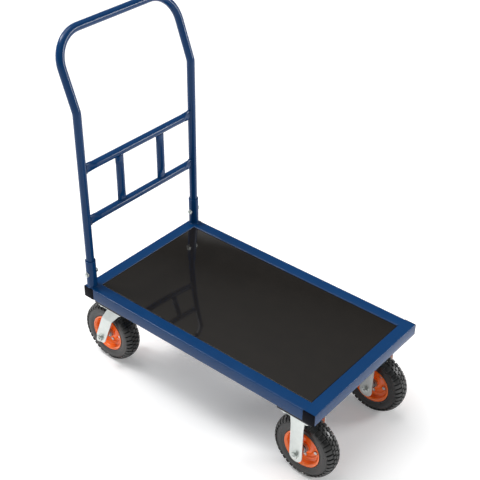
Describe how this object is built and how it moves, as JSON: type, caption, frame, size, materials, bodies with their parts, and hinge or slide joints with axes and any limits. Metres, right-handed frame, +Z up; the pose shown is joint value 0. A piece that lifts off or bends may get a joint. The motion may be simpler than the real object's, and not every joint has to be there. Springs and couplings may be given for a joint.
{
  "type": "platform cart",
  "caption": "Platform cart with a filmed board deck in a square-tube frame, a lift-out tubular push handle, swivel casters at the handle end and rigid casters in front.",
  "frame": {"origin": "middle of the cart's footprint, on the floor under the wheels", "axes": "+X from the handle to the front, +Y to the cart's left, +Z up"},
  "size_m": [1.006, 0.5216, 1.1404],
  "materials": {
    "blue_paint": "gloss blue powder coat",
    "zinc_plate": "bright zinc plate",
    "black_plastic": "moulded black polyethylene",
    "filmed_board": "plywood faced with dark phenolic film",
    "black_paint": "satin black powder coat",
    "tyre_rubber": "moulded black rubber",
    "orange_paint": "gloss orange paint on pressed steel",
    "bearing_steel": "turned steel"
  },
  "bodies": {
    "chassis": {"cross_member_1": "blue_paint", "cross_member_2": "blue_paint", "cross_member_3": "blue_paint", "deck_panel": "filmed_board", "front_end_beam": "blue_paint", "front_left_axle_bolt": "zinc_plate", "front_left_axle_nut": "zinc_plate", "front_left_end_plug": "black_plastic", "front_left_mount_plate": "black_paint", "front_left_rigid_fork": "zinc_plate", "front_right_axle_bolt": "zinc_plate", "front_right_axle_nut": "zinc_plate", "front_right_end_plug": "black_plastic", "front_right_mount_plate": "black_paint", "front_right_rigid_fork": "zinc_plate", "left_clamp_bolt": "zinc_plate", "left_clamp_nut": "zinc_plate", "left_handle_socket": "blue_paint", "left_side_rail": "blue_paint", "rear_end_beam": "blue_paint", "rear_left_end_plug": "black_plastic", "rear_left_kingpin": "zinc_plate", "rear_left_mount_plate": "black_paint", "rear_left_swivel_plate": "zinc_plate", "rear_right_end_plug": "black_plastic", "rear_right_kingpin": "zinc_plate", "rear_right_mount_plate": "black_paint", "rear_right_swivel_plate": "zinc_plate", "right_clamp_bolt": "zinc_plate", "right_clamp_nut": "zinc_plate", "right_handle_socket": "blue_paint", "right_side_rail": "blue_paint"},
    "handle": {"handle_tube": "blue_paint", "left_upright": "blue_paint", "lower_crossbar": "blue_paint", "right_upright": "blue_paint", "upper_crossbar": "blue_paint"},
    "rear_left_swivel": {"rear_left_axle_bolt": "zinc_plate", "rear_left_axle_nut": "zinc_plate", "rear_left_swivel_fork": "zinc_plate"},
    "rear_right_swivel": {"rear_right_axle_bolt": "zinc_plate", "rear_right_axle_nut": "zinc_plate", "rear_right_swivel_fork": "zinc_plate"},
    "rear_left_wheel": {"rear_left_hub": "bearing_steel", "rear_left_left_rim_half": "orange_paint", "rear_left_right_rim_half": "orange_paint", "rear_left_tyre": "tyre_rubber"},
    "rear_right_wheel": {"rear_right_hub": "bearing_steel", "rear_right_left_rim_half": "orange_paint", "rear_right_right_rim_half": "orange_paint", "rear_right_tyre": "tyre_rubber"},
    "front_left_wheel": {"front_left_hub": "bearing_steel", "front_left_left_rim_half": "orange_paint", "front_left_right_rim_half": "orange_paint", "front_left_tyre": "tyre_rubber"},
    "front_right_wheel": {"front_right_hub": "bearing_steel", "front_right_left_rim_half": "orange_paint", "front_right_right_rim_half": "orange_paint", "front_right_tyre": "tyre_rubber"}
  },
  "joints": [
    {"name": "handle_lift", "type": "slide", "parent": "chassis", "child": "handle", "axis": [0, 0, 1], "range_m": [0, 0.15]},
    {"name": "rear_left_swivel_turn", "type": "hinge", "parent": "chassis", "child": "rear_left_swivel", "pos_m": [-0.33, 0.178, 0.25], "axis": [0, 0, 1], "continuous": true},
    {"name": "rear_right_swivel_turn", "type": "hinge", "parent": "chassis", "child": "rear_right_swivel", "pos_m": [-0.33, -0.178, 0.25], "axis": [0, 0, 1], "continuous": true},
    {"name": "rear_left_wheel_spin", "type": "hinge", "parent": "rear_left_swivel", "child": "rear_left_wheel", "pos_m": [-0.398, 0.178, 0.105], "axis": [0, 1, 0], "continuous": true},
    {"name": "rear_right_wheel_spin", "type": "hinge", "parent": "rear_right_swivel", "child": "rear_right_wheel", "pos_m": [-0.398, -0.178, 0.105], "axis": [0, 1, 0], "continuous": true},
    {"name": "front_left_wheel_spin", "type": "hinge", "parent": "chassis", "child": "front_left_wheel", "pos_m": [0.398, 0.178, 0.105], "axis": [0, 1, 0], "continuous": true},
    {"name": "front_right_wheel_spin", "type": "hinge", "parent": "chassis", "child": "front_right_wheel", "pos_m": [0.398, -0.178, 0.105], "axis": [0, 1, 0], "continuous": true}
  ]
}
